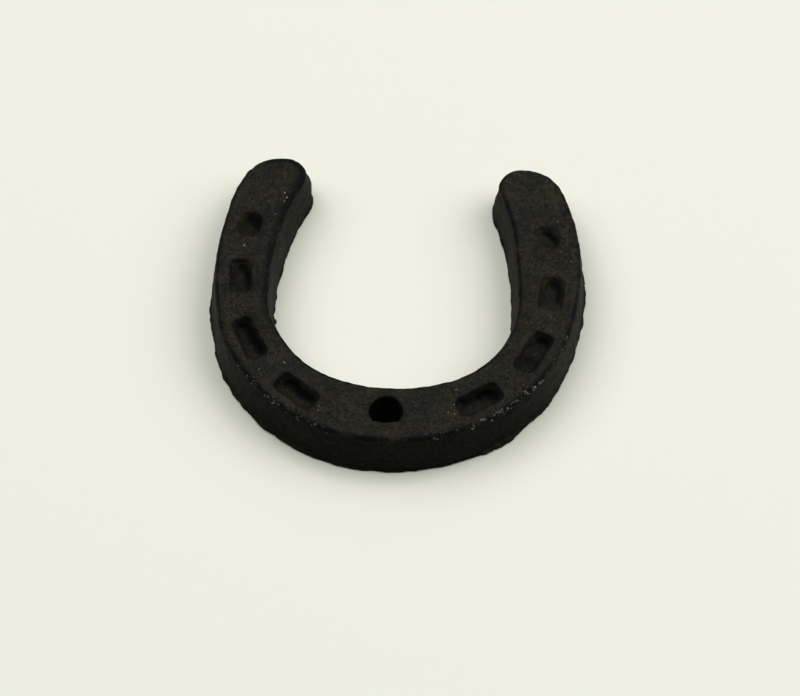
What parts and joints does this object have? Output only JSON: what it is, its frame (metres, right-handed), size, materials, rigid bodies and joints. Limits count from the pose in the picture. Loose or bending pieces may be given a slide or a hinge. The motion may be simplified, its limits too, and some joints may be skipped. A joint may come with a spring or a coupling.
{
  "type": "horseshoe",
  "caption": "Small cast-iron horseshoe with tapered sides, blind nail recesses along both branches of its face and a hanging hole through the toe.",
  "frame": {"origin": "centre of the outline of the flat back, on the surface that the shoe lies on", "axes": "+Z out of the face with the nail recesses, -Y towards the toe, +Y towards the open heels, X across the shoe, which is symmetric about X = 0"},
  "size_m": [0.05, 0.045, 0.007],
  "materials": {
    "blackened_iron": "blackened as-cast iron with a fine sandy grain and bare metal on chipped edges"
  },
  "bodies": {
    "root": {"horseshoe_casting": "blackened_iron"}
  },
  "joints": []
}
